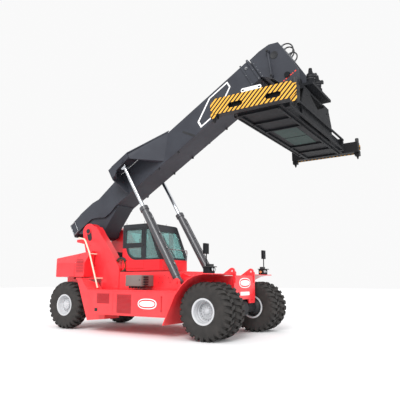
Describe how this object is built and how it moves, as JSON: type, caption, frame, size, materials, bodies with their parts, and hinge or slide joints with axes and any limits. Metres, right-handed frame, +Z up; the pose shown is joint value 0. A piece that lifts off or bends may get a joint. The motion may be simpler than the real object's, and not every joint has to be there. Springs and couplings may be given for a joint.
{
  "type": "reach stacker",
  "caption": "Wheeled container handler with a lifting telescopic boom, lift cylinders, slewing telescopic spreader with twistlocks, glazed cab and rear counterweight.",
  "frame": {"origin": "on the ground under the middle of the machine's bounding box, with the boom at 30.6 degrees and drawn in, and the spreader drawn in and square to the boom", "axes": "+X forward, from the counterweight to the spreader; +Y to the driver's left; +Z up"},
  "size_m": [10.67, 6.06, 9.0438],
  "materials": {
    "red_paint": "coral red gloss paint on steel plate",
    "boom_paint": "charcoal grey satin paint on steel plate",
    "black_paint": "black satin paint on steel",
    "striped_paint": "black paint with yellow and black diagonal warning stripes on the end plates",
    "grey_paint": "dark grey satin paint on steel",
    "rim_steel": "silver paint on pressed steel rims",
    "rod_chrome": "hard chrome on ground steel rod",
    "pipe_paint": "cream paint on steel pipe",
    "tyre_rubber": "dark worn rubber with block tread",
    "cast_iron": "rough black painted castings",
    "cab_glass": "green-tinted safety glass",
    "seat_cloth": "black woven seat cover"
  },
  "bodies": {
    "chassis": {"main_frame": "red_paint", "front_plate": "red_paint", "counterweight": "red_paint", "engine_cover_right": "red_paint", "engine_cover_left": "red_paint", "engine_block": "cast_iron", "side_box_right": "red_paint", "side_box_left": "red_paint", "front_fender_right": "red_paint", "front_fender_left": "red_paint", "electric_cabinet": "grey_paint", "mirror_and_lamp_right": "black_paint", "mirror_and_lamp_left": "black_paint", "hydraulic_pipe": "pipe_paint", "drive_axle": "cast_iron", "steer_axle": "cast_iron", "cab_shell": "black_paint", "windscreen": "cab_glass", "rear_window": "cab_glass", "side_window_right": "cab_glass", "side_window_left": "cab_glass", "driver_seat": "seat_cloth", "steering_console": "black_paint"},
    "front_wheels_right": {"front_tyre_right_outer": "tyre_rubber", "front_tyre_right_inner": "tyre_rubber", "front_rim_right": "rim_steel"},
    "front_wheels_left": {"front_tyre_left_outer": "tyre_rubber", "front_tyre_left_inner": "tyre_rubber", "front_rim_left": "rim_steel"},
    "steering_knuckle_right": {"knuckle_right": "cast_iron"},
    "steering_knuckle_left": {"knuckle_left": "cast_iron"},
    "rear_wheel_right": {"rear_tyre_right": "tyre_rubber", "rear_rim_right": "rim_steel"},
    "rear_wheel_left": {"rear_tyre_left": "tyre_rubber", "rear_rim_left": "rim_steel"},
    "door_right": {"cab_door_right": "black_paint"},
    "door_left": {"cab_door_left": "black_paint"},
    "boom": {"boom_tail": "boom_paint", "boom_outer": "boom_paint", "boom_wing_right": "boom_paint", "boom_wing_left": "boom_paint"},
    "boom_extension": {"boom_inner": "boom_paint", "head_hose_1": "black_paint", "head_hose_2": "black_paint", "head_hose_3": "black_paint"},
    "lift_cylinder_right": {"lift_barrel_right": "grey_paint"},
    "lift_cylinder_left": {"lift_barrel_left": "grey_paint"},
    "lift_piston_right": {"lift_rod_right": "rod_chrome"},
    "lift_piston_left": {"lift_rod_left": "rod_chrome"},
    "spreader_hanger": {"hanger": "black_paint"},
    "spreader_yoke": {"slew_yoke": "black_paint"},
    "spreader_body": {"spreader_frame": "black_paint"},
    "spreader_telescope_right": {"spreader_arm_right": "striped_paint"},
    "spreader_telescope_left": {"spreader_arm_left": "striped_paint"}
  },
  "joints": [
    {"name": "front_wheels_right_roll", "type": "hinge", "parent": "chassis", "child": "front_wheels_right", "pos_m": [2.025, -1.81, 0.82], "axis": [0, 1, 0], "continuous": true},
    {"name": "front_wheels_left_roll", "type": "hinge", "parent": "chassis", "child": "front_wheels_left", "pos_m": [2.025, 1.81, 0.82], "axis": [0, 1, 0], "continuous": true},
    {"name": "steering_right", "type": "hinge", "parent": "chassis", "child": "steering_knuckle_right", "pos_m": [-4.075, -0.95, 0.82], "axis": [0, 0, 1], "range_deg": [-45, 45]},
    {"name": "steering_left", "type": "hinge", "parent": "chassis", "child": "steering_knuckle_left", "pos_m": [-4.075, 0.95, 0.82], "axis": [0, 0, 1], "range_deg": [-45, 45]},
    {"name": "rear_wheel_right_roll", "type": "hinge", "parent": "steering_knuckle_right", "child": "rear_wheel_right", "pos_m": [-4.075, -1.38, 0.82], "axis": [0, 1, 0], "continuous": true},
    {"name": "rear_wheel_left_roll", "type": "hinge", "parent": "steering_knuckle_left", "child": "rear_wheel_left", "pos_m": [-4.075, 1.38, 0.82], "axis": [0, 1, 0], "continuous": true},
    {"name": "boom_lift", "type": "hinge", "parent": "chassis", "child": "boom", "pos_m": [-3.725, 0, 3.48], "axis": [0, -1, 0], "range_deg": [-30.6, 26.4]},
    {"name": "boom_extend", "type": "slide", "parent": "boom", "child": "boom_extension", "axis": [-0.8607, 0, -0.509], "range_m": [-6.6, 0]},
    {"name": "lift_cylinder_right_swing", "type": "hinge", "parent": "chassis", "child": "lift_cylinder_right", "pos_m": [0.525, -1.05, 1.62], "axis": [0, -1, 0], "range_deg": [-6.1, 5.3]},
    {"name": "lift_cylinder_left_swing", "type": "hinge", "parent": "chassis", "child": "lift_cylinder_left", "pos_m": [0.525, 1.05, 1.62], "axis": [0, -1, 0], "range_deg": [-6.1, 5.3]},
    {"name": "lift_piston_right_stroke", "type": "slide", "parent": "lift_cylinder_right", "child": "lift_piston_right", "axis": [-0.5148, 0, 0.8573], "range_m": [-1.475, 1.272]},
    {"name": "lift_piston_left_stroke", "type": "slide", "parent": "lift_cylinder_left", "child": "lift_piston_left", "axis": [-0.5148, 0, 0.8573], "range_m": [-1.475, 1.272]},
    {"name": "hanger_level", "type": "hinge", "parent": "boom_extension", "child": "spreader_hanger", "pos_m": [4.11997, 0, 7.87552], "axis": [0, -1, 0], "range_deg": [-26.5, 30.7]},
    {"name": "spreader_slew", "type": "hinge", "parent": "spreader_hanger", "child": "spreader_yoke", "pos_m": [4.11997, 0, 7.12], "axis": [0, 0, 1], "range_deg": [-105, 195]},
    {"name": "side_shift", "type": "slide", "parent": "spreader_yoke", "child": "spreader_body", "axis": [0, 1, 0], "range_m": [-0.8, 0.8]},
    {"name": "telescope_right", "type": "slide", "parent": "spreader_body", "child": "spreader_telescope_right", "axis": [0, -1, 0], "range_m": [0, 3.05]},
    {"name": "telescope_left", "type": "slide", "parent": "spreader_body", "child": "spreader_telescope_left", "axis": [0, 1, 0], "range_m": [0, 3.05]},
    {"name": "door_right_swing", "type": "hinge", "parent": "chassis", "child": "door_right", "pos_m": [-2.045, -0.803, 2.003], "axis": [0, 0, -1], "range_deg": [0, 90]},
    {"name": "door_left_swing", "type": "hinge", "parent": "chassis", "child": "door_left", "pos_m": [-2.045, 0.803, 2.003], "axis": [0, 0, 1], "range_deg": [0, 90]}
  ],
  "couplings": [
    {"joint": "steering_left", "follows": "steering_right", "ratio": 1},
    {"joint": "lift_cylinder_right_swing", "follows": "boom_lift", "ratio": 0.1975},
    {"joint": "lift_cylinder_left_swing", "follows": "boom_lift", "ratio": 0.1975},
    {"joint": "lift_piston_right_stroke", "follows": "boom_lift", "m_per_rad": 2.757},
    {"joint": "lift_piston_left_stroke", "follows": "boom_lift", "m_per_rad": 2.757},
    {"joint": "hanger_level", "follows": "boom_lift", "ratio": -1},
    {"joint": "telescope_left", "follows": "telescope_right", "ratio": 1}
  ]
}
